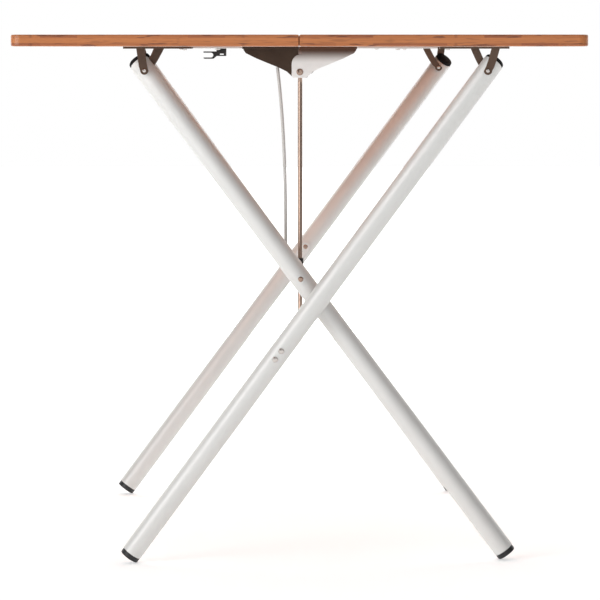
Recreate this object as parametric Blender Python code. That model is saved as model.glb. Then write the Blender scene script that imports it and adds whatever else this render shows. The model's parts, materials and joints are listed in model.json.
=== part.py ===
"""Folding camp table: two bamboo halves that fold down over four crossed aluminium legs.

Metres, +Z up, the front is -Y and the fold runs along Y at x = 0. The table stands on z = 0.
The far legs, brackets and hinge are the near ones turned half a turn about Z.
"""
from math import acos, cos, pi, radians, sin, tan

import bmesh
import bpy
from mathutils import Matrix, Vector

MM = 0.001

# Table top
TOP_WIDTH = 735 * MM
TOP_DEPTH = 830 * MM
TOP_HEIGHT = 686 * MM
BOARD_T = 15 * MM
SEAM = 1.2 * MM
CORNER_R = 12 * MM
BOARD_EDGE_R = 1.8 * MM

# Running and seating gaps
FIT = 0.3 * MM
SIDE_GAP = 1.8 * MM

# Centre hinge
HINGE_DROP = 33 * MM
HINGE_Y = 335 * MM
HINGE_PLATE_T = 3 * MM
HINGE_REACH = 74 * MM
HINGE_SIDE = 10.6 * MM
HINGE_FLOOR = 7.5 * MM
HINGE_CORNER_R = 3 * MM
HINGE_HEEL_R = 6 * MM
HINGE_SHOULDER_R = 12.6 * MM
HINGE_SLOPE = ((17 * MM, 0.5 * MM), (26 * MM, 5 * MM), (56 * MM, 17.3 * MM))
HINGE_END_H = 6.5 * MM
HINGE_END_CHAMFER = 3 * MM
HINGE_FLANGE_W = 24 * MM
HINGE_PIN_R = 3.5 * MM
HINGE_HEAD_R = 4.6 * MM
HEAD_H = 2.2 * MM

# Leg tubes and their caps
TUBE_R = 13 * MM
TUBE_WALL = 1.6 * MM
TUBE_OVER = 12 * MM
END_SLANT = radians(22)
CAP_R = TUBE_R - 0.2 * MM
CAP_H = 7 * MM
CAP_ROUND = 1.4 * MM
PLUG_H = 5.5 * MM
INSERT_H = 12 * MM

# Places of the legs, for the inner and the outer leg of each pair: distance of the pin
# and the foot from the fold line and from the middle of the depth, and how far the top of
# the outside and of the inside ear stand aside from the pin
PIN_DROP = 31 * MM
INNER = {"pin": (199 * MM, 360 * MM), "foot": (270.5 * MM, 318 * MM), "ears": (5 * MM, 19 * MM)}
OUTER = {"pin": (240 * MM, 392 * MM), "foot": (222 * MM, 352 * MM), "ears": (10 * MM, 16 * MM)}

# Leg brackets: a base plate with one bent ear each side of the tube
EAR_T = 3 * MM
EAR_W = 10.6 * MM
EAR_BOW = 0.75
BASE_T = 3 * MM
BASE_OUT = 27 * MM
BASE_IN = 61 * MM
BASE_HALF_W = 20 * MM
LEG_PIN_R = 2.3 * MM
LEG_HEAD_R = 3.1 * MM

# Fastenings at the crossing of a pair
PLATE_T = 2.4 * MM
PLATE_HALF_W = 7 * MM
HUB_PLATE_FROM = 26 * MM
HUB_PLATE_TO = 99 * MM
HUB_BOLTS = (77 * MM, 90.5 * MM)
STRAP_RIVET_UP = 36 * MM
STRAP_LENGTH = 26 * MM
BOLT_R = 2.6 * MM
BOLT_HEAD_R = 4 * MM
RIVET_R = 2.2 * MM
RIVET_HEAD_R = 3.6 * MM

# Stay rod that hangs from the near hinge pin, with its lock wire and the clamp that joins them
STAY_R = 3 * MM
STAY_GAP = 1.5 * MM
STAY_LENGTH = 318 * MM
STAY_EYE_R = 7 * MM
STAY_EYE_T = 7 * MM
STAY_TAPER = (5 * MM, 15 * MM)
CLAMP_DOWN = 251 * MM
CLAMP_H = 18 * MM
CLAMP_HALF = 4.3 * MM
CLAMP_STEP = 6 * MM
WIRE_R = 2.1 * MM
WIRE_TOP = (-29.5 * MM, 8 * MM)
WIRE_FOOT_X = -18.5 * MM
WIRE_BOW = 2.8

# Stiffening battens and the rod clip
RAIL_T = 2.4 * MM
RAIL_W = 26 * MM
CLIP_X = 96.5 * MM
CLIP_Y = 300 * MM
CLIP_HALF_DEPTH = 7 * MM
CLIP_W = 12.5 * MM
CLIP_H = 12.5 * MM
CLIP_JAW = 6.2 * MM
CLIP_JAW_DOWN = 11.3 * MM
CLIP_JAW_WALL = 4.2 * MM
CLIP_FINGER = 1.7 * MM
CLIP_REACH = 17 * MM
CLIP_SLOT = ((-8.5 * MM, -10.9 * MM), (-3 * MM, -9.4 * MM))
SCREW_R = 3.6 * MM
SCREW_HEAD_H = 1.8 * MM

UNDERSIDE = TOP_HEIGHT - BOARD_T
PIVOT_Z = UNDERSIDE - HINGE_DROP
PIN_Z = UNDERSIDE - PIN_DROP


def stay_line():
    """Distance of the stay rod from the middle of the depth: just inside the inner leg's rivet."""
    (pin_x, pin_y), (foot_x, foot_y) = INNER["pin"], INNER["foot"]
    span = pin_x + OUTER["pin"][0]
    part_way = span / (span + foot_x + OUTER["foot"][0]) - STRAP_RIVET_UP / TOP_HEIGHT
    leg_y = pin_y + (foot_y - pin_y) * part_way
    return leg_y - TUBE_R - PLATE_T - HEAD_H - STAY_R - STAY_GAP


STAY_Y = stay_line()

COLOURS = {
    "bamboo": ((0.52, 0.25, 0.10), 0.45, 0.0),
    "anodised_tube": ((0.72, 0.72, 0.71), 0.38, 1.0),
    "bracket_steel": ((0.30, 0.26, 0.23), 0.35, 1.0),
    "hinge_steel": ((0.62, 0.60, 0.58), 0.32, 1.0),
    "bright_steel": ((0.60, 0.55, 0.52), 0.22, 1.0),
    "black_plastic": ((0.015, 0.014, 0.014), 0.5, 0.0),
    "wire_steel": ((0.55, 0.52, 0.48), 0.3, 1.0),
}


def clear_scene():
    for obj in list(bpy.data.objects):
        bpy.data.objects.remove(obj, do_unlink=True)


def material(name):
    found = bpy.data.materials.get(name)
    if found:
        return found
    colour, roughness, metallic = COLOURS[name]
    made = bpy.data.materials.new(name)
    made.use_nodes = True
    shader = made.node_tree.nodes["Principled BSDF"]
    shader.inputs["Base Color"].default_value = (*colour, 1.0)
    shader.inputs["Roughness"].default_value = roughness
    shader.inputs["Metallic"].default_value = metallic
    return made


def add_object(name, bm, material_name, matrix=None):
    """Turn a bmesh into a named object; the mesh is in the object's own axes."""
    bmesh.ops.remove_doubles(bm, verts=bm.verts, dist=1e-7)
    bmesh.ops.recalc_face_normals(bm, faces=bm.faces)
    mesh = bpy.data.meshes.new(name)
    bm.to_mesh(mesh)
    bm.free()
    obj = bpy.data.objects.new(name, mesh)
    bpy.context.scene.collection.objects.link(obj)
    mesh.materials.append(material(material_name))
    if matrix:
        obj.matrix_world = matrix
    return obj


def block(low, high):
    bm = bmesh.new()
    low, high = Vector(low), Vector(high)
    size = high - low
    place = Matrix.Translation((low + high) / 2) @ Matrix.Diagonal((*size, 1.0))
    bmesh.ops.create_cube(bm, size=1.0, matrix=place)
    return bm


def prism(outline, y_low, y_high):
    """A plate: an outline of (x, z) points drawn out along Y."""
    bm = bmesh.new()
    face = bm.faces.new([bm.verts.new((x, y_low, z)) for x, z in outline])
    drawn = bmesh.ops.extrude_face_region(bm, geom=[face])
    verts = [item for item in drawn["geom"] if isinstance(item, bmesh.types.BMVert)]
    bmesh.ops.translate(bm, verts=verts, vec=(0, y_high - y_low, 0))
    return bm


def turned(profile, segments=24):
    """A solid of revolution about Z from (radius, z) points; a point at radius 0 closes it."""
    bm = bmesh.new()
    verts = [bm.verts.new((radius, 0, z)) for radius, z in profile]
    edges = [bm.edges.new(pair) for pair in zip(verts, verts[1:])]
    if profile[0][0] > 0:
        edges.append(bm.edges.new((verts[-1], verts[0])))
    bmesh.ops.spin(bm, geom=verts + edges, cent=(0, 0, 0), axis=(0, 0, 1), angle=2 * pi,
                   steps=segments, use_merge=True)
    bmesh.ops.remove_doubles(bm, verts=bm.verts, dist=1e-6)
    return bm


def along_y(bm, x=0.0, y=0.0, z=0.0):
    """Lay a turned solid down so that its own +Z points to -Y, then move it."""
    bmesh.ops.transform(bm, verts=bm.verts, matrix=Matrix.Translation((x, y, z)) @ Matrix.Rotation(pi / 2, 4, "X"))
    return bm


def arc(centre, radius, start, end, steps):
    """Points on an arc in the x-z plane, angles in degrees from +X towards +Z."""
    angles = [radians(start + (end - start) * i / steps) for i in range(steps + 1)]
    return [(centre[0] + radius * cos(a), centre[1] + radius * sin(a)) for a in angles]


def combine(obj, others, operation):
    """Join or cut the object with others, which are used up."""
    for other in others:
        step = obj.modifiers.new("step", "BOOLEAN")
        step.operation = operation
        step.solver = "EXACT"
        step.object = other
    bpy.context.view_layer.update()
    evaluated = obj.evaluated_get(bpy.context.evaluated_depsgraph_get())
    mesh = bpy.data.meshes.new_from_object(evaluated)
    obj.modifiers.clear()
    obj.data = mesh
    mesh.name = obj.name
    for other in others:
        bpy.data.objects.remove(other, do_unlink=True)
    return obj


def tool(bm, matrix=None):
    """A throwaway solid for combine."""
    return add_object("tool", bm, "bracket_steel", matrix)


def rod_y(radius, y_low, y_high, x, z, segments=16):
    """A round bar along Y as a bmesh."""
    bm = turned([(0, y_low), (radius, y_low), (radius, y_high), (0, y_high)], segments)
    turn = Matrix.Rotation(-pi / 2, 4, "X")
    bmesh.ops.transform(bm, verts=bm.verts, matrix=Matrix.Translation((x, 0, z)) @ turn)
    return bm


def half_turn(near):
    """The near pieces stay where they are, the far ones are turned half a turn about Z."""
    return Matrix.Identity(4) if near else Matrix.Rotation(pi, 4, "Z")


def mirrored(side):
    """Flip x for the right-hand version of a piece."""
    return Matrix.Diagonal((side, 1, 1, 1))


def add_board(name, side):
    inner, outer = SEAM / 2, TOP_WIDTH / 2
    low_x, high_x = sorted((side * inner, side * outer))
    bm = block((low_x, -TOP_DEPTH / 2, UNDERSIDE), (high_x, TOP_DEPTH / 2, TOP_HEIGHT))
    outer_edges = [e for e in bm.edges
                   if all(abs(abs(v.co.x) - outer) < 1e-6 for v in e.verts)
                   and abs(e.verts[0].co.z - e.verts[1].co.z) > BOARD_T / 2]
    bmesh.ops.bevel(bm, geom=outer_edges, offset=CORNER_R, segments=5, profile=0.5, affect="EDGES")
    rims = [e for e in bm.edges
            if abs(e.verts[0].co.z - e.verts[1].co.z) < 1e-7
            and abs(e.calc_face_angle(0)) > radians(60)]
    bmesh.ops.bevel(bm, geom=rims, offset=BOARD_EDGE_R, segments=2, profile=0.5, affect="EDGES")
    return add_object(name, bm, "bamboo")


class Leg:
    """Places and axes of one leg; tag is like near_left."""

    def __init__(self, tag):
        end, half = tag.split("_")
        self.tag = tag
        self.out = -1 if half == "left" else 1
        self.end = -1 if end == "near" else 1
        self.inner = self.out == self.end
        places = INNER if self.inner else OUTER
        pin_x, pin_y = places["pin"]
        foot_x, foot_y = places["foot"]
        self.ears = places["ears"]
        self.pin = Vector((self.out * pin_x, self.end * pin_y, PIN_Z))
        lean = 0.0
        for _ in range(5):
            # the rounded rim of the cap touches the ground
            height = (CAP_R - CAP_ROUND) * sin(lean) + CAP_ROUND
            foot = Vector((-self.out * foot_x, self.end * foot_y, height))
            lean = acos((self.pin.z - height) / (self.pin - foot).length)
        reach = (foot - self.pin).length
        self.down = (foot - self.pin) / reach
        self.length = reach - (CAP_H - CAP_ROUND)
        self.frame = frame_from(self.pin, -self.down, Vector((0, -self.end, 0)))


def frame_from(origin, up, ahead):
    """Axes with Z along up and Y as near to ahead as it can be."""
    z = up.normalized()
    x = ahead.cross(z).normalized()
    y = z.cross(x)
    matrix = Matrix((x, y, z)).transposed().to_4x4()
    matrix.translation = origin
    return matrix


def slant_top(bm, above):
    """Shear the top of a tube or plug so that its end faces the middle of the table."""
    for vert in bm.verts:
        if vert.co.z > above:
            vert.co.z -= vert.co.y * tan(END_SLANT)


def bar(radius, origin, direction, low, high, segments=16):
    """A throwaway round bar along a direction."""
    side = Vector((0, 0, 1)) if abs(direction.z) < 0.9 else Vector((1, 0, 0))
    return tool(turned([(0, low), (radius, low), (radius, high), (0, high)], segments),
                frame_from(origin, direction, side))


def add_leg(leg, holes):
    """Tube with its slanted top plug and its foot cap; holes are (radius, distance down)."""
    inner_r = TUBE_R - TUBE_WALL
    tube = turned([(inner_r, TUBE_OVER), (inner_r, -leg.length), (TUBE_R, -leg.length),
                   (TUBE_R, TUBE_OVER)], 28)
    slant_top(tube, TUBE_OVER - MM)
    body = add_object("leg_tube_" + leg.tag, tube, "anodised_tube", leg.frame)
    cutters = [bar(LEG_PIN_R + FIT / 3, leg.pin, Vector((0, 1, 0)), -2 * TUBE_R, 2 * TUBE_R)]
    for radius, down in holes:
        middle = leg.frame @ Vector((0, 0, -down))
        across = leg.frame.to_3x3() @ Vector((0, 1, 0))
        cutters.append(bar(radius + FIT / 3, middle, across, -2 * TUBE_R, 2 * TUBE_R))
    combine(body, cutters, "DIFFERENCE")

    insert_r = inner_r - FIT
    start = TUBE_OVER + FIT
    dome = [(CAP_R * cos(a) ** 0.35, start + PLUG_H * (0.45 + 0.55 * sin(a)))
            for a in (0, pi / 8, pi / 4, 3 * pi / 8)]
    plug = turned([(0, TUBE_OVER - 1.5 * MM), (insert_r, TUBE_OVER - 1.5 * MM), (insert_r, start), (CAP_R, start)]
                  + dome + [(0, start + PLUG_H)], 24)
    slant_top(plug, TUBE_OVER - 2 * MM)
    add_object("top_plug_" + leg.tag, plug, "black_plastic", leg.frame)

    end = -leg.length - FIT
    tip = end - CAP_H + FIT
    rounding = [(CAP_R - CAP_ROUND + CAP_ROUND * cos(a), tip + CAP_ROUND - CAP_ROUND * sin(a))
                for a in (0, pi / 6, pi / 3, pi / 2)]
    cap = turned([(0, end + INSERT_H), (insert_r, end + INSERT_H), (insert_r, end), (CAP_R, end)]
                 + rounding + [(0, tip)], 28)
    add_object("foot_cap_" + leg.tag, cap, "black_plastic", leg.frame)


def ear_outline(shift, top):
    """A strap that bows aside towards its top, round the pin at the origin."""
    half = EAR_W / 2
    steps = 8
    line = [(shift * (1 - i / steps) ** EAR_BOW, top * (1 - i / steps)) for i in range(steps + 1)]
    tip = arc((0, 0), half, 180, 360, 12)
    return [(x - half, z) for x, z in line[:-1]] + tip + [(x + half, z) for x, z in reversed(line[:-1])]


def add_bracket(leg):
    """Base plate under the board, an ear each side of the tube, the pin through them and a screw."""
    drop = PIN_DROP - BASE_T
    inside = TUBE_R + SIDE_GAP
    spread = sorted((-leg.out * BASE_IN, leg.out * BASE_OUT))
    base = block((spread[0], -BASE_HALF_W, drop), (spread[1], BASE_HALF_W, PIN_DROP - FIT))
    place = Matrix.Translation(leg.pin)
    bracket = add_object("leg_bracket_" + leg.tag, base, "bracket_steel", place)
    ears = []
    outside_shift, inside_shift = leg.ears
    for side, shift in ((leg.end, leg.out * outside_shift), (-leg.end, -leg.out * inside_shift)):
        faces = sorted((side * inside, side * (inside + EAR_T)))
        ears.append(tool(prism(ear_outline(shift, drop + BASE_T / 2), *faces), place))
    combine(bracket, ears, "UNION")
    outside = inside + EAR_T
    combine(bracket, [bar(LEG_PIN_R + FIT / 3, leg.pin, Vector((0, 1, 0)), -2 * outside, 2 * outside)],
            "DIFFERENCE")

    head = outside + FIT
    side = [(0, head + HEAD_H), (LEG_HEAD_R * 0.7, head + HEAD_H * 0.8), (LEG_HEAD_R, head), (LEG_PIN_R, head)]
    pin = turned([(r, -z) for r, z in side] + side[::-1], 16)
    add_object("leg_pin_" + leg.tag, along_y(pin), "bright_steel", place)

    under = leg.pin + Vector((-leg.out * (BASE_IN - 10 * MM), 0, drop - FIT))
    add_screw("bracket_screw_" + leg.tag, Matrix.Translation(under))


def add_screw(name, matrix):
    """A low dome head against the plate above it; the shank in the wood is left out."""
    dome = turned([(0, 0), (SCREW_R, 0), (SCREW_R * 0.9, -SCREW_HEAD_H * 0.5),
                   (SCREW_R * 0.55, -SCREW_HEAD_H * 0.9), (0, -SCREW_HEAD_H)], 12)
    return add_object(name, dome, "bright_steel", matrix)


def hinge_outline():
    """Right-hand plate about its pivot: a squared lobe round the pin that widens into the flange."""
    top = HINGE_DROP - FIT - MM
    reach = HINGE_REACH - MM
    corner = arc((HINGE_CORNER_R - HINGE_SIDE, HINGE_CORNER_R - HINGE_FLOOR), HINGE_CORNER_R, 180, 270, 4)
    heel = arc((HINGE_HEEL_R, HINGE_HEEL_R - HINGE_FLOOR), HINGE_HEEL_R, 270, 305, 4)
    low = top - HINGE_END_H
    end = [(reach - HINGE_END_CHAMFER, low - MM), (reach, low + HINGE_END_CHAMFER), (reach, top), (2 * MM, top)]
    shoulder = arc((2 * MM, HINGE_SIDE), HINGE_SHOULDER_R, 90, 180, 6)
    return corner + heel + list(HINGE_SLOPE) + end + shoulder


def add_hinge_plate(name, side, near, web_y, colour):
    """Web and flange in one piece; web_y is the web's outer face, measured outwards."""
    web = prism(hinge_outline(), -web_y, -web_y + HINGE_PLATE_T)
    plate = add_object(name, web, colour)
    top = HINGE_DROP - FIT
    edge = -web_y + HINGE_PLATE_T - MM
    flange = block((MM, edge - HINGE_FLANGE_W, top - HINGE_PLATE_T), (HINGE_REACH, edge, top))
    combine(plate, [tool(flange)], "UNION")
    hole = rod_y(HINGE_PIN_R + FIT / 3, -TOP_DEPTH, TOP_DEPTH, 0, 0)
    combine(plate, [tool(hole)], "DIFFERENCE")
    if side < 0:
        plate.data.transform(mirrored(-1))
        plate.data.flip_normals()
    plate.matrix_world = half_turn(near) @ Matrix.Translation((0, 0, PIVOT_Z))
    return plate


def add_hinge(end, near):
    """Two plates that overlap at the pivot, and the pin through them; the near one carries the stay."""
    outer = HINGE_Y + HINGE_PLATE_T + FIT
    first, second = ("right", "left") if near else ("left", "right")
    add_hinge_plate("hinge_plate_%s_%s" % (end, first), 1, near, outer, "hinge_steel")
    add_hinge_plate("hinge_plate_%s_%s" % (end, second), -1, near, HINGE_Y, "bracket_steel")
    shoulder = HINGE_Y - HINGE_PLATE_T - FIT
    front = outer + FIT
    tail = shoulder
    collar = []
    if near:
        tail = STAY_Y - STAY_EYE_T / 2 - FIT
        eye = STAY_Y + STAY_EYE_T / 2 + FIT
        collar = [(HINGE_PIN_R, eye), (HINGE_HEAD_R, eye), (HINGE_HEAD_R, shoulder), (HINGE_PIN_R, shoulder)]
    rim = HINGE_HEAD_R * 0.75
    pin = turned([(0, tail - HEAD_H), (rim, tail - HEAD_H * 0.75), (HINGE_HEAD_R, tail), (HINGE_PIN_R, tail)]
                 + collar + [(HINGE_PIN_R, front), (HINGE_HEAD_R, front), (rim, front + HEAD_H * 0.75),
                             (0, front + HEAD_H)], 20)
    add_object("hinge_pin_" + end, along_y(pin), "bright_steel",
               half_turn(near) @ Matrix.Translation((0, 0, PIVOT_Z)))


def crossing_depth(leg, other):
    """Distance down a leg to where the other leg of its pair crosses it, seen from the front."""
    gap = other.pin - leg.pin
    turn = leg.down.x * other.down.z - leg.down.z * other.down.x
    return (gap.x * other.down.z - gap.z * other.down.x) / turn


def plate_outline(low, high):
    """A strip along z with round ends."""
    r = PLATE_HALF_W
    return arc((0, high - r), r, 0, 180, 10) + arc((0, low + r), r, 180, 360, 10)


def add_hub(leg, depth):
    """Plate on the inside of the outer tube, held by two dome bolts from outside."""
    face = TUBE_R + FIT
    plate = add_object("hub_plate_" + leg.tag.split("_")[0],
                       prism(plate_outline(-depth - HUB_PLATE_TO, -depth - HUB_PLATE_FROM), face, face + PLATE_T),
                       "bracket_steel")
    holes = [rod_y(BOLT_R + FIT / 3, -2 * TUBE_R, 2 * TUBE_R, 0, -depth - down) for down in HUB_BOLTS]
    combine(plate, [tool(hole) for hole in holes], "DIFFERENCE")
    plate.matrix_world = leg.frame
    for number, down in enumerate(HUB_BOLTS):
        bolt = turned([(0, -face - PLATE_T), (BOLT_R, -face - PLATE_T), (BOLT_R, face), (BOLT_HEAD_R, face),
                       (BOLT_HEAD_R * 0.8, face + HEAD_H * 0.7), (0, face + HEAD_H)], 16)
        add_object("hub_bolt_%s_%d" % (leg.tag.split("_")[0], number + 1), along_y(bolt), "bright_steel",
                   leg.frame @ Matrix.Translation((0, 0, -depth - down)))


def add_strap(leg, depth):
    """Short strap on the inside of the inner tube, held by one rivet."""
    face = TUBE_R + FIT
    at = -depth + STRAP_RIVET_UP
    end = leg.tag.split("_")[0]
    strap = add_object("link_strap_" + end,
                       prism(plate_outline(at + PLATE_HALF_W - STRAP_LENGTH, at + PLATE_HALF_W), face, face + PLATE_T),
                       "bracket_steel")
    combine(strap, [tool(rod_y(RIVET_R + FIT / 3, -2 * TUBE_R, 2 * TUBE_R, 0, at))], "DIFFERENCE")
    strap.matrix_world = leg.frame
    rear = -face - PLATE_T - FIT
    stud = turned([(0, rear - HEAD_H * 0.6), (RIVET_HEAD_R * 0.7, rear - HEAD_H * 0.5), (RIVET_HEAD_R, rear),
                   (RIVET_R, rear), (RIVET_R, face), (RIVET_HEAD_R, face),
                   (RIVET_HEAD_R * 0.7, face + HEAD_H * 0.6), (0, face + HEAD_H * 0.7)], 14)
    add_object("link_rivet_" + end, along_y(stud), "bright_steel",
               leg.frame @ Matrix.Translation((0, 0, at)))


def wire(name, points, radius, colour):
    """A round wire through the given points, as a closed mesh."""
    curve = bpy.data.curves.new(name, "CURVE")
    curve.dimensions = "3D"
    curve.bevel_depth = radius
    curve.bevel_resolution = 3
    curve.use_fill_caps = True
    spline = curve.splines.new("POLY")
    spline.points.add(len(points) - 1)
    for place, point in zip(spline.points, points):
        place.co = (*point, 1.0)
    obj = bpy.data.objects.new(name, curve)
    bpy.context.scene.collection.objects.link(obj)
    bpy.context.view_layer.update()
    mesh = bpy.data.meshes.new_from_object(obj.evaluated_get(bpy.context.evaluated_depsgraph_get()))
    bpy.data.objects.remove(obj, do_unlink=True)
    bm = bmesh.new()
    bm.from_mesh(mesh)
    bpy.data.meshes.remove(mesh)
    return add_object(name, bm, colour)


def add_stay():
    """Straight rod that hangs from the near hinge pin by an eye, with an eye at its foot."""
    high, low = (-z for z in STAY_TAPER)
    half = STAY_EYE_T / 2
    shank = turned([(0, -STAY_LENGTH), (STAY_R, -STAY_LENGTH), (STAY_R, low), (half * 0.8, high), (0, high)], 14)
    stay = add_object("stay_rod", shank, "wire_steel")
    ends = (Vector(), Vector((0, 0, -STAY_LENGTH)))
    across = Vector((0, 1, 0))
    combine(stay, [bar(STAY_EYE_R, place, across, -half, half, 20) for place in ends], "UNION")
    combine(stay, [bar(HINGE_PIN_R + FIT / 3, place, across, -2 * half, 2 * half) for place in ends], "DIFFERENCE")
    stay.matrix_world = Matrix.Translation((0, -STAY_Y, PIVOT_Z))


def add_lock_wire():
    """Bowed wire from behind the left hinge plate to a black clamp on the stay rod."""
    origin = Vector((0, -STAY_Y, PIVOT_Z))
    foot_z = CLAMP_STEP - CLAMP_DOWN
    top_x, top_z = WIRE_TOP
    steps = 18
    path = []
    for i in range(steps + 1):
        k = i / steps
        bow = 1 - (1 - k) ** WIRE_BOW
        path.append((top_x + (WIRE_FOOT_X - top_x) * bow, 0, top_z + (foot_z - top_z) * k))
    wire("lock_wire", path, WIRE_R, "wire_steel").matrix_world = Matrix.Translation(origin)

    low, high = -CLAMP_DOWN - CLAMP_H / 2, -CLAMP_DOWN + CLAMP_H / 2
    left = WIRE_FOOT_X - CLAMP_HALF
    clamp = add_object("stay_clamp", block((left, -CLAMP_HALF, low), (CLAMP_HALF, CLAMP_HALF, high)),
                       "black_plastic")
    under = block((left - MM, -2 * CLAMP_HALF, low - MM), (-CLAMP_HALF, 2 * CLAMP_HALF, foot_z - CLAMP_STEP))
    bore = bar(STAY_R + FIT / 2, Vector(), Vector((0, 0, 1)), low - MM, high + MM)
    socket = bar(WIRE_R + FIT, Vector((WIRE_FOOT_X, 0, 0)), Vector((0, 0, 1)), foot_z - FIT, high + MM)
    combine(clamp, [tool(under), bore, socket], "DIFFERENCE")
    clamp.matrix_world = Matrix.Translation(origin)


def add_rod_clip():
    """Black clip under the left half: a slotted block with a jaw open towards -X for a thin rod."""
    root = -CLIP_W
    tip = root - CLIP_REACH
    half = CLIP_JAW / 2
    ceiling = half - CLIP_JAW_DOWN
    floor = -half - CLIP_JAW_DOWN
    sole = floor - CLIP_FINGER
    body = [(root, -FIT), (0, -FIT), (0, -CLIP_H), (root, -CLIP_H)]
    lower = [(root - CLIP_JAW_WALL, sole), (tip + MM, sole), (tip, sole + MM), (tip, floor)]
    jaw = arc((root - CLIP_JAW_WALL - half, -CLIP_JAW_DOWN), half, -90, 90, 8)
    upper = [(tip, ceiling), (tip, ceiling + CLIP_FINGER), (root, ceiling + CLIP_FINGER)]
    outline = prism(body + lower + jaw + upper, -CLIP_HALF_DEPTH, CLIP_HALF_DEPTH)
    clip = add_object("rod_clip", outline, "black_plastic")
    (left, bottom), (right, top) = CLIP_SLOT
    slot = block((left, -2 * CLIP_HALF_DEPTH, bottom), (right, 2 * CLIP_HALF_DEPTH, top))
    combine(clip, [tool(slot)], "DIFFERENCE")
    clip.matrix_world = Matrix.Translation((-CLIP_X, -CLIP_Y, UNDERSIDE))


def add_rail(leg):
    """Flat batten between a leg bracket's base and a hinge flange, with its screw."""
    end = abs(leg.pin.x) - BASE_IN - 1.5 * MM
    low, high = sorted((leg.out * (HINGE_REACH + 1.5 * MM), leg.out * end))
    middle = leg.end * (HINGE_Y + HINGE_FLANGE_W / 2)
    top = UNDERSIDE - FIT
    add_object("rail_" + leg.tag, block((low, middle - RAIL_W / 2, top - RAIL_T), (high, middle + RAIL_W / 2, top)),
               "hinge_steel")
    add_screw("rail_screw_" + leg.tag,
              Matrix.Translation(((low + high) / 2, middle, top - RAIL_T - FIT)))


def build():
    clear_scene()
    add_board("top_left", -1)
    add_board("top_right", 1)
    for end, near in (("near", True), ("far", False)):
        inner = Leg(end + ("_left" if near else "_right"))
        outer = Leg(end + ("_right" if near else "_left"))
        inner_depth = crossing_depth(inner, outer)
        outer_depth = crossing_depth(outer, inner)
        add_leg(inner, [(RIVET_R, inner_depth - STRAP_RIVET_UP)])
        add_leg(outer, [(BOLT_R, outer_depth + down) for down in HUB_BOLTS])
        add_strap(inner, inner_depth)
        add_hub(outer, outer_depth)
        for leg in (inner, outer):
            add_bracket(leg)
            add_rail(leg)
        add_hinge(end, near)
    add_stay()
    add_lock_wire()
    add_rod_clip()


build()
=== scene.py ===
"""Folding camp table: the finish of every piece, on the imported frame."""
import json
from math import cos, pi, radians, sin

import bmesh
import bpy
from mathutils import Matrix, Vector


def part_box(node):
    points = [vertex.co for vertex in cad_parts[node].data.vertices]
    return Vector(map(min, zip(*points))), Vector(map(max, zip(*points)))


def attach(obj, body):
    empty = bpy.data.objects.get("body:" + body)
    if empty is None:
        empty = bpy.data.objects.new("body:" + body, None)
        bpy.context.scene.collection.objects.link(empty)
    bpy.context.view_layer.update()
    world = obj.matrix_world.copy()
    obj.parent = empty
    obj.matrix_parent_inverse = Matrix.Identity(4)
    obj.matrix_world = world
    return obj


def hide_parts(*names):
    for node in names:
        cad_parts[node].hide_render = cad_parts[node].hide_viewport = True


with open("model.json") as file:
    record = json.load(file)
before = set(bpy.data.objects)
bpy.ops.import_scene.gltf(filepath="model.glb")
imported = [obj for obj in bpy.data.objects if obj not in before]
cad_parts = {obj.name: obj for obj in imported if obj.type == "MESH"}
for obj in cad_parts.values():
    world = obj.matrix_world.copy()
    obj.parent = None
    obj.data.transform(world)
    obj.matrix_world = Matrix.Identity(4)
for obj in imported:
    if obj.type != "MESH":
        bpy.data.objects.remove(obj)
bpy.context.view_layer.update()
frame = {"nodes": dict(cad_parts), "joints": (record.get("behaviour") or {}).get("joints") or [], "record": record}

# Camera: a long lens at the height of the table's underside, a little right of the fold line, looking
# slightly down, so that the top is seen exactly edge-on and the far legs show inside the near ones.
# The film and the lens are in millimetres, and the angles in radians.
FILM_WIDTH = 36.0
FOCAL_LENGTH = 198.8
FAR_CLIP = 60.0
EYE = (0.056, -4.632, 0.6693)
LOOK_DOWN = 0.076
LOOK_LEFT = 0.013

lens = bpy.data.cameras.new("camera")
lens.sensor_width = FILM_WIDTH
lens.lens = FOCAL_LENGTH
lens.clip_end = FAR_CLIP
camera = bpy.data.objects.new("camera", lens)
bpy.context.scene.collection.objects.link(camera)
camera.location = EYE
camera.rotation_euler = (pi / 2 - LOOK_DOWN, 0.0, LOOK_LEFT)
bpy.context.scene.camera = camera


# Table top: two boards of pressed bamboo, three layers each. The outer layers are flat strips that run
# across the table, the middle layer runs the other way; sanded, rounded over and lacquered.
MM = 0.001
BAMBOO_PALE = (0.66, 0.240, 0.070, 1.0)
BAMBOO_WARM = (0.34, 0.092, 0.024, 1.0)
BAMBOO_DARK = (0.115, 0.030, 0.012, 1.0)
BAMBOO_BROWN = (0.265, 0.068, 0.022, 1.0)
STRIP_WIDTH = 19 * MM
PLY_STRIP = 47 * MM
OUTER_LAYER = 4.2 * MM
GLUE_LINE = 0.4 * MM
JOINT_SPACING = 0.27
JOINT_WIDTH = 0.012
CANE_SHIFT = 7.0
FACE_SHIFT = 57.0
DASH_RANGE = (0.585, 0.66)
SEAM_SHARE = 0.03
RING_DARK, SEAM_DARK = 0.55, 0.5
FIBRES_ALONG, FIBRES_ACROSS = 14.0, 900.0
DASHES_ALONG, DASHES_ACROSS = 42.0, 420.0
WELD = 0.004 * MM
FLAT_WITHIN = radians(0.6)
EASE_STEPS = 2


def new_group(name, inputs, outputs):
    """An empty shader group with its sockets."""
    group = bpy.data.node_groups.new(name, "ShaderNodeTree")
    for label, kind, value in inputs:
        socket = group.interface.new_socket(name=label, in_out="INPUT", socket_type="NodeSocket" + kind)
        if value is not None:
            socket.default_value = value
    for label, kind in outputs:
        group.interface.new_socket(name=label, in_out="OUTPUT", socket_type="NodeSocket" + kind)
    return group, group.nodes.new("NodeGroupInput"), group.nodes.new("NodeGroupOutput")


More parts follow.
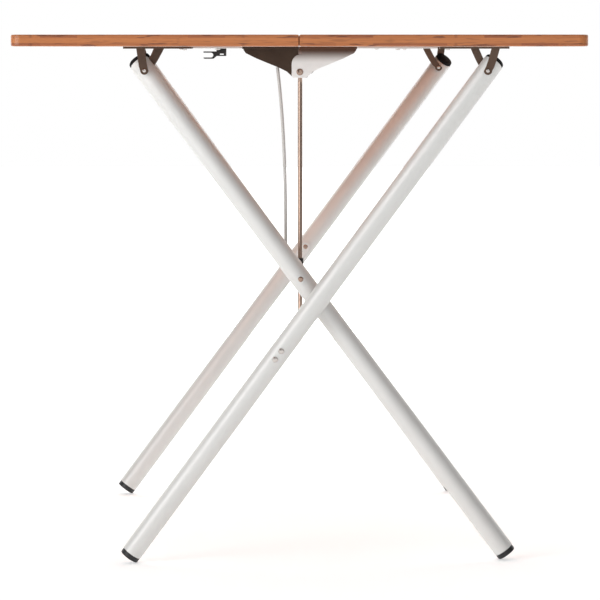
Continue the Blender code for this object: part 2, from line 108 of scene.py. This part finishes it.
def put(tree, kind, **settings):
    """Add a node and set its options; a value for an input is given by index in a dict called values."""
    node = tree.nodes.new("ShaderNode" + kind)
    for index, value in settings.pop("values", {}).items():
        node.inputs[index].default_value = value
    for key, value in settings.items():
        setattr(node, key, value)
    return node


def feed(tree, socket, source):
    """Link a socket to another, or set it when the source is a plain value."""
    if isinstance(source, bpy.types.NodeSocket):
        tree.links.new(source, socket)
    else:
        socket.default_value = source


def calc(tree, operation, *sources):
    """A math node fed by sockets or numbers; returns its output."""
    node = put(tree, "Math", operation=operation)
    for socket, source in zip(node.inputs, sources):
        feed(tree, socket, source)
    return node.outputs[0]


def weighted(tree, first, first_share, second, second_share):
    """The sum of two values, each times its share."""
    return calc(tree, "ADD", calc(tree, "MULTIPLY", first, first_share),
                calc(tree, "MULTIPLY", second, second_share))


def noise(tree, place, scale, detail, roughness):
    """Noise over a place; returns its value."""
    node = put(tree, "TexNoise")
    for label, source in (("Vector", place), ("Scale", scale), ("Detail", detail), ("Roughness", roughness)):
        feed(tree, node.inputs[label], source)
    return node.outputs[0]


def remap(tree, source, given, wanted=(0.0, 1.0), smooth=False):
    """Carry a value from one range to another, held at both ends; returns it."""
    node = put(tree, "MapRange", interpolation_type="SMOOTHSTEP" if smooth else "LINEAR",
               values={1: given[0], 2: given[1], 3: wanted[0], 4: wanted[1]})
    tree.links.new(source, node.inputs[0])
    return node.outputs[0]


def mix_colour(tree, factor, first, second):
    """Blend two colours, each a socket or an RGBA value."""
    node = put(tree, "Mix", data_type="RGBA")
    for index, source in ((0, factor), (6, first), (7, second)):
        feed(tree, node.inputs[index], source)
    return node.outputs[2]


def material(name, colour, metallic, roughness):
    """A material with its Principled shader; returns both and the node tree."""
    made = bpy.data.materials.new(name)
    made.use_nodes = True
    shader = made.node_tree.nodes["Principled BSDF"]
    shader.inputs["Base Color"].default_value = colour
    shader.inputs["Metallic"].default_value = metallic
    shader.inputs["Roughness"].default_value = roughness
    return made, shader, made.node_tree


def bump(tree, shader, height, strength, distance):
    """Relief from a height; the distance is in metres."""
    node = put(tree, "Bump", values={"Strength": strength, "Distance": distance})
    tree.links.new(height, node.inputs["Height"])
    tree.links.new(node.outputs[0], shader.inputs["Normal"])


def fibre_group():
    """Bamboo strips along one axis: Along and Across in metres give a tone, dark marks and a height."""
    given_names = [(label, "Float", 0.0) for label in ("Along", "Across", "Depth")]
    made_names = [(label, "Float") for label in ("Tone", "Marks", "Height")]
    group, given, out = new_group("bamboo strips", given_names, made_names)
    along, across, depth = list(given.outputs)[:3]
    strip_count = calc(group, "DIVIDE", across, STRIP_WIDTH)
    chance = put(group, "TexWhiteNoise", noise_dimensions="1D")
    group.links.new(calc(group, "FLOOR", strip_count), chance.inputs["W"])
    # each strip is cut from another cane, so its joints sit elsewhere along it
    shifted = calc(group, "ADD", along, calc(group, "MULTIPLY", chance.outputs[0], CANE_SHIFT))

    def stretched(lengthwise, crosswise):
        place = put(group, "CombineXYZ")
        sources = ((shifted, lengthwise), (across, crosswise), (depth, crosswise))
        for socket, (source, scale) in zip(place.inputs, sources):
            group.links.new(calc(group, "MULTIPLY", source, scale), socket)
        return place.outputs[0]

    fibre = noise(group, stretched(FIBRES_ALONG, FIBRES_ACROSS), 1.0, 3.0, 0.6)
    dash = noise(group, stretched(DASHES_ALONG, DASHES_ACROSS), 1.0, 1.5, 0.5)
    sharp = remap(group, dash, DASH_RANGE)
    cell = calc(group, "FRACT", calc(group, "DIVIDE", shifted, JOINT_SPACING))
    from_joint = calc(group, "ABSOLUTE", calc(group, "SUBTRACT", cell, 0.5))
    ring = remap(group, from_joint, (0.0, JOINT_WIDTH), (RING_DARK, 0.0))
    seam = remap(group, calc(group, "FRACT", strip_count), (0.0, SEAM_SHARE), (SEAM_DARK, 0.0))
    tone = weighted(group, fibre, 0.75, chance.outputs[0], 0.35)
    marks = calc(group, "MAXIMUM", sharp, calc(group, "MAXIMUM", ring, seam))
    height = calc(group, "SUBTRACT", fibre, marks)
    for label, value in (("Tone", tone), ("Marks", marks), ("Height", height)):
        group.links.new(value, out.inputs[label])
    return group


bamboo_strips = fibre_group()


def bamboo_material(top, underside):
    """Three layers by height: strips along X outside, strips along Y in the middle."""
    made, shader, tree = material("bamboo", BAMBOO_WARM, 0.0, 0.42)
    where = put(tree, "TexCoord")
    axis = put(tree, "SeparateXYZ")
    tree.links.new(where.outputs["Object"], axis.inputs[0])
    x, y, z = axis.outputs
    outer = put(tree, "Group", node_tree=bamboo_strips)
    inner = put(tree, "Group", node_tree=bamboo_strips)
    for node, sources in ((outer, (x, y, z)), (inner, (x, z, y))):
        for socket, source in zip(node.inputs, sources):
            tree.links.new(source, socket)
    middle = (top + underside) / 2
    # the core mask is 1 in the middle layer and falls to 0 across the glue lines
    half = (top - underside) / 2 - OUTER_LAYER
    from_middle = calc(tree, "ABSOLUTE", calc(tree, "SUBTRACT", z, middle))
    core = remap(tree, from_middle, (half - GLUE_LINE, half + GLUE_LINE), (1.0, 0.0))
    # the strips of the outer layers are sawn short, and each has its own shade
    piece = calc(tree, "ADD", calc(tree, "FLOOR", calc(tree, "DIVIDE", x, PLY_STRIP)),
                 calc(tree, "MULTIPLY", calc(tree, "GREATER_THAN", z, middle), FACE_SHIFT))
    shade = put(tree, "TexWhiteNoise", noise_dimensions="1D")
    tree.links.new(piece, shade.inputs["W"])
    browned = remap(tree, shade.outputs[0], (0.35, 1.0), (0.0, 0.85))
    # that shade shows on the board's edges and not on its faces
    upright = put(tree, "SeparateXYZ")
    tree.links.new(where.outputs["Normal"], upright.inputs[0])
    edge_on = remap(tree, calc(tree, "ABSOLUTE", upright.outputs[2]), (0.4, 0.7), (1.0, 0.0))
    outer_colour = mix_colour(tree, outer.outputs["Tone"], BAMBOO_WARM, BAMBOO_PALE)
    outer_colour = mix_colour(tree, calc(tree, "MULTIPLY", browned, edge_on), outer_colour, BAMBOO_BROWN)
    outer_marks = calc(tree, "MULTIPLY", outer.outputs["Marks"], 0.8)
    outer_colour = mix_colour(tree, outer_marks, outer_colour, BAMBOO_DARK)
    inner_colour = mix_colour(tree, inner.outputs["Tone"], BAMBOO_WARM, BAMBOO_PALE)
    inner_marks = calc(tree, "MULTIPLY", inner.outputs["Marks"], 0.3)
    inner_colour = mix_colour(tree, inner_marks, inner_colour, BAMBOO_DARK)
    colour = mix_colour(tree, core, outer_colour, inner_colour)
    tree.links.new(colour, shader.inputs["Base Color"])
    bump(tree, shader, outer.outputs["Height"], 0.25, 0.15 * MM)
    shader.inputs["Coat Weight"].default_value = 0.25
    shader.inputs["Coat Roughness"].default_value = 0.3
    return made


def body_of(node):
    """The body that carries a node of the frame."""
    for body, nodes in frame["record"]["behaviour"]["bodies"].items():
        if node in nodes:
            return body
    raise KeyError(node)


def place_piece(piece, node):
    """Let a new piece stand for a node and move with its body."""
    bpy.context.scene.collection.objects.link(piece)
    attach(piece, body_of(node))
    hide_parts(node)


def finished(node, name, look, slot, edge=0.0, crease=35, axes=None):
    """A finer copy of a node: eased edges, smooth round faces, its own axes for the grain."""
    mesh = frame["nodes"][node].data.copy()
    mesh.name = name
    piece = bpy.data.objects.new(name, mesh)
    work = bmesh.new()
    work.from_mesh(mesh)
    bmesh.ops.remove_doubles(work, verts=work.verts, dist=WELD)
    bmesh.ops.dissolve_limit(work, angle_limit=FLAT_WITHIN, verts=work.verts, edges=work.edges)
    if axes:
        work.transform(axes.inverted())
    work.to_mesh(mesh)
    work.free()
    if axes:
        piece.matrix_world = axes
    mesh.materials.clear()
    mesh.materials.append(look)
    if edge:
        ease = piece.modifiers.new("eased edges", "BEVEL")
        ease.width = edge
        ease.segments = EASE_STEPS
        ease.limit_method = "ANGLE"
        ease.angle_limit = radians(crease)
        ease.harden_normals = False
    mesh.shade_smooth()
    mesh.set_sharp_from_angle(angle=radians(crease))
    place_piece(piece, node)


top_low, top_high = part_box("top_left")
bamboo = bamboo_material(top_high[2], top_low[2])
for side in ("left", "right"):
    finished("top_" + side, "board_" + side, bamboo, "bamboo", edge=0.35 * MM, crease=25)


# Legs: drawn aluminium tube, blasted and clear anodised, so it looks almost white with a soft sheen and
# faint lines along the tube. The ends are sawn and closed by a slanted plug above and a cap below.
LEG_TAGS = ("near_left", "near_right", "far_left", "far_right")
TUBE_GREY = (0.69, 0.69, 0.675, 1.0)
TUBE_WHITE = (0.75, 0.75, 0.735, 1.0)
PLASTIC_BLACK = (0.006, 0.006, 0.007, 1.0)
PLASTIC_WORN = (0.014, 0.014, 0.015, 1.0)
PLUG_BLACK = (0.004, 0.004, 0.004, 1.0)
PLUG_DUSTY = (0.013, 0.013, 0.014, 1.0)
DRAWN_LINES = {"Line Stretch": (900.0, 900.0, 6.0), "Line Roughness": 0.6, "Line Share": 0.5,
               "Cloud Scale": 14.0, "Cloud Detail": 4.0, "Cloud Roughness": 0.6}
BURR = 0.3 * MM


def leg_axes(tag):
    """Axes of a leg: origin on its bracket pin, Z up the tube."""
    pin = next(Vector(j["pos_m"]) for j in frame["joints"] if j["child"] == "leg_" + tag)
    low, high = (Vector(corner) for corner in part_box("foot_cap_" + tag))
    z = (pin - (low + high) / 2).normalized()
    x = Vector((0, 1, 0)).cross(z).normalized()
    axes = Matrix((x, z.cross(x), z)).transposed().to_4x4()
    axes.translation = pin
    return axes


def metal_wear_group():
    """Worn metal: stretched lines, soft clouds, and a blend of the two for the gloss."""
    numbers = ("Line Roughness", "Line Share", "Cloud Scale", "Cloud Detail", "Cloud Roughness")
    given_names = [(label, "Vector", None) for label in ("Place", "Line Stretch", "Line Turn")]
    given_names += [(label, "Float", 0.5) for label in numbers]
    group, given, out = new_group("metal wear", given_names,
                                  [(label, "Float") for label in ("Lines", "Cloud", "Wear")])
    take = given.outputs
    fit = put(group, "Mapping")
    for label, source in (("Vector", "Place"), ("Rotation", "Line Turn"), ("Scale", "Line Stretch")):
        feed(group, fit.inputs[label], take[source])
    lines = noise(group, fit.outputs[0], 1.0, 3.0, take["Line Roughness"])
    cloud = noise(group, take["Place"], take["Cloud Scale"], take["Cloud Detail"], take["Cloud Roughness"])
    rest = calc(group, "SUBTRACT", 1.0, take["Line Share"])
    wear = weighted(group, lines, take["Line Share"], cloud, rest)
    for label, value in (("Lines", lines), ("Cloud", cloud), ("Wear", wear)):
        feed(group, out.inputs[label], value)
    return group


def skin_group():
    """The fine skin that a mould leaves on plastic."""
    given_names = [("Place", "Vector", None), ("Scale", "Float", 1500.0), ("Detail", "Float", 2.0)]
    group, given, out = new_group("moulded skin", given_names, [("Skin", "Float")])
    skin = noise(group, given.outputs["Place"], given.outputs["Scale"], given.outputs["Detail"], 0.6)
    feed(group, out.inputs["Skin"], skin)
    return group


metal_wear = metal_wear_group()
moulded_skin = skin_group()


def from_group(tree, group, place, **values):
    """Place a group on the piece's own coordinates with its values; returns its outputs."""
    node = put(tree, "Group", node_tree=group)
    feed(tree, node.inputs["Place"], place)
    for label, value in values.items():
        node.inputs[label].default_value = value
    return node.outputs


def tube_material():
    """Drawing lines along the tube over a fine blasted grain."""
    made, shader, tree = material("anodised tube", TUBE_WHITE, 0.4, 0.55)
    where = put(tree, "TexCoord").outputs["Object"]
    metal = from_group(tree, metal_wear, where, **DRAWN_LINES)
    grain = noise(tree, where, 1800.0, 2.0, 0.5)
    feed(tree, shader.inputs["Roughness"], remap(tree, metal["Wear"], (0.3, 0.7), (0.50, 0.60)))
    feed(tree, shader.inputs["Base Color"], mix_colour(tree, metal["Cloud"], TUBE_GREY, TUBE_WHITE))
    bump(tree, shader, weighted(tree, metal["Lines"], 0.6, grain, 0.4), 0.12, 0.05 * MM)
    return made


def plastic_material():
    """Moulded skin, a little glossier where it is worn."""
    made, shader, tree = material("black plastic", PLASTIC_BLACK, 0.0, 0.45)
    where = put(tree, "TexCoord").outputs["Object"]
    skin = from_group(tree, moulded_skin, where, Scale=1500.0, Detail=2.0)["Skin"]
    worn = noise(tree, where, 90.0, 4.0, 0.6)
    feed(tree, shader.inputs["Roughness"], remap(tree, worn, (0.35, 0.7), (0.34, 0.52)))
    feed(tree, shader.inputs["Base Color"], mix_colour(tree, worn, PLASTIC_BLACK, PLASTIC_WORN))
    bump(tree, shader, skin, 0.2, 0.06 * MM)
    return made


def plug_material():
    """The slanted top plug is the same plastic, duller, because nothing rubs it."""
    made, shader, tree = material("dull black plastic", PLUG_BLACK, 0.0, 0.75)
    where = put(tree, "TexCoord").outputs["Object"]
    skin = from_group(tree, moulded_skin, where, Scale=1100.0, Detail=3.0)["Skin"]
    feed(tree, shader.inputs["Base Color"], mix_colour(tree, skin, PLUG_BLACK, PLUG_DUSTY))
    shader.inputs["Specular IOR Level"].default_value = 0.2
    bump(tree, shader, skin, 0.25, 0.08 * MM)
    return made


def smooth_tube(tag, axes, sides=96):
    """The leg tube with many sides: sawn square below, on the slant above, both ends deburred."""
    node = "leg_tube_" + tag
    local = [axes.inverted() @ vert.co for vert in frame["nodes"][node].data.vertices]
    outer = max(Vector((p.x, p.y)).length for p in local)
    inner = min(Vector((p.x, p.y)).length for p in local)
    foot = min(p.z for p in local)
    # the lowest point of the slanted end is straight across the tube from its highest
    high = max(local, key=lambda p: p.z)
    across = [p for p in local if p.z > -2 * outer and p.y * high.y < 0]
    low = max(across, key=lambda p: abs(p.y) / MM + p.z)
    slope = (high.z - low.z) / (high.y - low.y)
    crown = high.z - slope * high.y
    # radius, height on the axis, and 1 where the ring follows the slant
    rings = ((inner, foot + BURR, 0), (inner + BURR, foot, 0),
             (outer - BURR, foot, 0), (outer, foot + BURR, 0),
             (outer, crown - BURR, 1), (outer - BURR, crown, 1),
             (inner + BURR, crown, 1), (inner, crown - BURR, 1))
    work = bmesh.new()
    loops = []
    for radius, z, slant in rings:
        turns = [2 * pi * i / sides for i in range(sides)]
        loops.append([work.verts.new((radius * cos(a), radius * sin(a), z + slant * slope * radius * sin(a)))
                      for a in turns])
    for first, second in zip(loops, loops[1:] + loops[:1]):
        for i in range(sides):
            work.faces.new((first[i], first[i - 1], second[i - 1], second[i]))
    bmesh.ops.recalc_face_normals(work, faces=work.faces)
    mesh = bpy.data.meshes.new("tube_" + tag)
    work.to_mesh(mesh)
    work.free()
    mesh.shade_smooth()
    mesh.set_sharp_from_angle(angle=radians(40))
    mesh.materials.append(anodised)
    piece = bpy.data.objects.new("tube_" + tag, mesh)
    piece.matrix_world = axes
    place_piece(piece, node)


anodised = tube_material()
black = plastic_material()
plug_black = plug_material()
for tag in LEG_TAGS:
    axes = leg_axes(tag)
    smooth_tube(tag, axes)
    finished("top_plug_" + tag, "plug_" + tag, plug_black, "black_plastic", crease=40, axes=axes)
    finished("foot_cap_" + tag, "cap_" + tag, black, "black_plastic", crease=40, axes=axes)


# Leg brackets, battens and their fixings: punched from steel strip, bent and pressed, then tumbled, so
# the edges are soft and the faces carry fine scratches. The ears are brown, the battens zinc plated.
EAR_TONES = ((0.095, 0.062, 0.046, 1.0), (0.150, 0.102, 0.078, 1.0))
ZINC_TONES = ((0.66, 0.645, 0.63, 1.0), (0.80, 0.785, 0.77, 1.0))
BRIGHT_TONES = ((0.50, 0.46, 0.43, 1.0), (0.72, 0.68, 0.65, 1.0))
RIVET_HEAD = {"edge": 0.2 * MM, "crease": 40}
SCREW_HEAD = {"edge": 0.15 * MM, "crease": 40}
SCRATCHES = {"Line Stretch": (90.0, 1400.0, 1400.0), "Line Turn": (0.0, radians(12), 0.0),
             "Line Roughness": 0.65, "Line Share": 0.6,
             "Cloud Scale": 45.0, "Cloud Detail": 5.0, "Cloud Roughness": 0.62}


def steel_material(name, tones, roughness, scratch, metallic=1.0):
    """Cloudy between a dark and a light tone, with fine scratches that all run one way."""
    dark, light = tones
    made, shader, tree = material(name, light, metallic, roughness)
    metal = from_group(tree, metal_wear, put(tree, "TexCoord").outputs["Object"], **SCRATCHES)
    feed(tree, shader.inputs["Base Color"], mix_colour(tree, metal["Cloud"], dark, light))
    rough = remap(tree, metal["Wear"], (0.3, 0.7), (roughness * 0.8, roughness * 1.35))
    feed(tree, shader.inputs["Roughness"], rough)
    bump(tree, shader, metal["Lines"], scratch, 0.05 * MM)
    return made


ear_steel = steel_material("bent strip", EAR_TONES, 0.32, 0.08)
zinc_steel = steel_material("zinc plated steel", ZINC_TONES, 0.36, 0.15, 0.8)
bright_steel = steel_material("bright steel", BRIGHT_TONES, 0.18, 0.1)

for tag in LEG_TAGS:
    finished("leg_bracket_" + tag, "bracket_" + tag, ear_steel, "bracket_steel", edge=0.5 * MM, crease=30)
    finished("leg_pin_" + tag, "pin_" + tag, bright_steel, "bright_steel", **RIVET_HEAD)
    finished("rail_" + tag, "batten_" + tag, zinc_steel, "hinge_steel", edge=0.5 * MM)
    for kind in ("bracket_screw_", "rail_screw_"):
        finished(kind + tag, kind + "head_" + tag, bright_steel, "bright_steel", **SCREW_HEAD)


# Centre hinge and crossings: at each hinge the light plate lies outside the dark one, with painted shade and a
# painted brown reflection of the board just under it, and a rivet holds both. Each crossing has a dark plate on
# two bolts and a zinc strap.
STRIP_TONES = ((0.050, 0.033, 0.025, 1.0), (0.088, 0.060, 0.045, 1.0))
PLATE_TONES = ((0.80, 0.785, 0.77, 1.0), (0.94, 0.93, 0.915, 1.0))
ROD_TONES = ((0.32, 0.22, 0.17, 1.0), (0.44, 0.325, 0.265, 1.0))
# painted shade and reflection of the board on the light hinge plate: its colour, how far below the board it
# reaches and where it is full
PAINTED_BOARD_SHADE = (0.105, 0.050, 0.030, 1.0)
PAINTED_SHADE_REACH = 22 * MM
PAINTED_SHADE_FULL = 4 * MM
PUNCHED = {"edge": 0.4 * MM, "crease": 30}
DOME_HEAD = {"edge": 0.25 * MM, "crease": 40}
BOLTS = (1, 2)


def paint_shade_below(made, board_floor):
    """Paint shade and a brown reflection of the board onto a finish next to the board, fading out downwards."""
    tree = made.node_tree
    shader = tree.nodes["Principled BSDF"]
    plain = shader.inputs["Base Color"].links[0].from_socket
    height = put(tree, "SeparateXYZ")
    tree.links.new(put(tree, "TexCoord").outputs["Object"], height.inputs[0])
    fade = (board_floor - PAINTED_SHADE_REACH, board_floor - PAINTED_SHADE_FULL)
    # painted shade and reflection of the board: full close under the board, gone lower down
    painted_shade = remap(tree, height.outputs[2], fade, smooth=True)
    tree.links.new(mix_colour(tree, painted_shade, plain, PAINTED_BOARD_SHADE), shader.inputs["Base Color"])


dark_steel = steel_material("strip steel", STRIP_TONES, 0.3, 0.08)
rod_steel = steel_material("stay rod", ROD_TONES, 0.16, 0.08)
# the light hinge plate: zinc plated, with painted shade and reflection of the board near its top
shade_painted_steel = steel_material("plate with painted shade", PLATE_TONES, 0.36, 0.15, 0.7)
paint_shade_below(shade_painted_steel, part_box("top_right")[0][2])

for end, light, dark in (("near", "right", "left"), ("far", "left", "right")):
    fittings = (("hinge_plate_%s_%s" % (end, light), "hinge_light_", shade_painted_steel, "hinge_steel", PUNCHED),
                ("hinge_plate_%s_%s" % (end, dark), "hinge_dark_", dark_steel, "bracket_steel", PUNCHED),
                ("hinge_pin_" + end, "hinge_rivet_", rod_steel, "bright_steel", DOME_HEAD),
                ("hub_plate_" + end, "hub_", dark_steel, "bracket_steel", PUNCHED),
                ("link_strap_" + end, "strap_", zinc_steel, "bracket_steel", PUNCHED),
                ("link_rivet_" + end, "rivet_", rod_steel, "bright_steel", RIVET_HEAD))
    for node, name, look, slot, ease in fittings:
        finished(node, name + end, look, slot, **ease)
    for number in BOLTS:
        place = "%s_%d" % (end, number)
        finished("hub_bolt_" + place, "bolt_" + place, bright_steel, "bright_steel", **DOME_HEAD)


# Stay rod, lock wire, the clamp that joins them and the rod clip: a drawn rod with pressed eyes,
# a bowed spring wire and two small black mouldings.
WIRE_TONES = ((0.52, 0.51, 0.49, 1.0), (0.62, 0.61, 0.59, 1.0))
WIRE_BOW = 2.8


def smooth_wire(node, name, bow, bends=72):
    """The spring wire as one smooth bow, from its box: nearly straight below, leaning out at the top."""
    low, high = (Vector(corner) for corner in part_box(node))
    radius = (high.y - low.y) / 2
    top_x, foot_x = low.x + radius, high.x - radius
    curve = bpy.data.curves.new(name, "CURVE")
    curve.dimensions = "3D"
    curve.bevel_depth = radius
    curve.bevel_resolution = 7
    curve.use_fill_caps = True
    spline = curve.splines.new("POLY")
    spline.points.add(bends)
    for i, point in enumerate(spline.points):
        k = i / bends
        x = top_x + (foot_x - top_x) * (1 - (1 - k) ** bow)
        point.co = (x, (low.y + high.y) / 2, high.z - radius + (low.z - high.z + radius) * k, 1.0)
    curve.materials.append(wire_steel)
    piece = bpy.data.objects.new(name, curve)
    place_piece(piece, node)


wire_steel = steel_material("wire", WIRE_TONES, 0.5, 0.1, 0.3)
finished("stay_rod", "stay", rod_steel, "wire_steel", edge=0.3 * MM, crease=40)
smooth_wire("lock_wire", "wire_lock", WIRE_BOW)
finished("stay_clamp", "clamp", black, "black_plastic", edge=0.8 * MM, crease=30)
finished("rod_clip", "clip", black, "black_plastic", edge=0.5 * MM, crease=30)


# Studio: a wide white floor, a tall sheet of lit paper behind the table and soft light that comes
# mostly from the left. The paper lights the table, but the camera looks through it from any side.
STUDIO_WHITE = (0.94, 0.94, 0.94, 1.0)
FLOOR_RADIUS = 14.0
FLOOR_SIDES = 96
FLOOR_DROP = 0.4 * MM
PAPER_HALF = 8.0
PAPER_FOOT = 3.0
PAPER_CURVE = 1.5
PAPER_HEIGHT = 7.0
PAPER_STEPS = 12
GLOW_REACH = (1.2, 2.6)
GLOW_NEAR = (0.40, 0.40, 0.40, 1.0)
GLOW_FAR = (1.0, 1.0, 1.0, 1.0)
SKY_LIGHT = 0.26
SKY_SEEN = 1.0


def stage_piece(name, work, look):
    """A smooth stage object from its bmesh; returns it."""
    mesh = bpy.data.meshes.new(name)
    work.to_mesh(mesh)
    work.free()
    mesh.shade_smooth()
    mesh.materials.append(look)
    piece = bpy.data.objects.new(name, mesh)
    bpy.context.scene.collection.objects.link(piece)
    return piece


def floor_material():
    """White paint that glows behind the table, and for the camera all round it; clear from below."""
    made, shader, tree = material("studio floor", STUDIO_WHITE, 0.0, 0.9)
    where = put(tree, "TexCoord").outputs["Object"]
    axis = put(tree, "SeparateXYZ")
    away = put(tree, "VectorMath", operation="LENGTH")
    for node in (axis, away):
        tree.links.new(where, node.inputs[0])
    behind = remap(tree, axis.outputs[1], GLOW_REACH, smooth=True)
    around = remap(tree, away.outputs["Value"], GLOW_REACH, smooth=True)
    seen = calc(tree, "MULTIPLY", around, put(tree, "LightPath").outputs["Is Camera Ray"])
    glow = mix_colour(tree, calc(tree, "MAXIMUM", behind, seen), GLOW_NEAR, GLOW_FAR)
    tree.links.new(glow, shader.inputs["Emission Color"])
    shader.inputs["Emission Strength"].default_value = 1.0
    clear = put(tree, "BsdfTransparent")
    choice = put(tree, "MixShader")
    sources = (put(tree, "NewGeometry").outputs["Backfacing"], shader.outputs[0], clear.outputs[0])
    for socket, source in zip(choice.inputs, sources):
        tree.links.new(source, socket)
    tree.links.new(choice.outputs[0], tree.nodes["Material Output"].inputs["Surface"])
    return made


def paper_material():
    """White paper lit from behind."""
    made, shader, tree = material("lit paper", STUDIO_WHITE, 0.0, 0.9)
    shader.inputs["Emission Color"].default_value = GLOW_FAR
    shader.inputs["Emission Strength"].default_value = 1.0
    return made


def round_floor():
    """A disc just under the feet."""
    work = bmesh.new()
    bmesh.ops.create_circle(work, cap_ends=True, segments=FLOOR_SIDES, radius=FLOOR_RADIUS)
    bmesh.ops.translate(work, verts=work.verts, vec=(0, 0, -FLOOR_DROP))
    return work


def curved_sheet():
    """A sheet that bends up from the floor behind the table."""
    work = bmesh.new()
    bend = [pi / 2 * i / PAPER_STEPS for i in range(PAPER_STEPS + 1)]
    line = [(PAPER_FOOT + PAPER_CURVE * sin(a), PAPER_CURVE * (1 - cos(a))) for a in bend]
    line.append((PAPER_FOOT + PAPER_CURVE, PAPER_HEIGHT))
    left, right = ([work.verts.new((x, y, z)) for y, z in line] for x in (-PAPER_HALF, PAPER_HALF))
    for i in range(len(line) - 1):
        work.faces.new((left[i], right[i], right[i + 1], left[i + 1]))
    return work


def area_light(name, place, target, size, power):
    """A rectangular soft light that looks at a point."""
    lamp = bpy.data.lights.new(name, "AREA")
    lamp.shape = "RECTANGLE"
    lamp.size, lamp.size_y = size
    lamp.energy = power
    holder = bpy.data.objects.new(name, lamp)
    bpy.context.scene.collection.objects.link(holder)
    holder.location = place
    aim = Vector(target) - Vector(place)
    holder.rotation_euler = aim.to_track_quat("-Z", "Y").to_euler()


def pale_sky():
    """Even light from all round; the camera sees it white."""
    world = bpy.data.worlds.new("studio")
    world.use_nodes = True
    tree = world.node_tree
    sky = tree.nodes["Background"]
    sky.inputs["Color"].default_value = GLOW_FAR
    camera_ray = put(tree, "LightPath").outputs["Is Camera Ray"]
    tree.links.new(remap(tree, camera_ray, (0.0, 1.0), (SKY_LIGHT, SKY_SEEN)), sky.inputs["Strength"])
    return world


stage_piece("floor", round_floor(), floor_material())
paper = stage_piece("lit_paper", curved_sheet(), paper_material())
paper.visible_camera = False
area_light("key", place=(-2.9, -2.9, 1.35), target=(0, 0, 0.5), size=(2.2, 2.3), power=71)
area_light("fill", place=(0.6, -4.9, 1.2), target=(0, 0, 0.4), size=(2.0, 2.0), power=9)
area_light("overhead", place=(0.0, 0.6, 3.2), target=(0, 0, 0.4), size=(3.0, 3.0), power=24)
bpy.context.scene.world = pale_sky()
bpy.context.scene.view_settings.view_transform = "Standard"
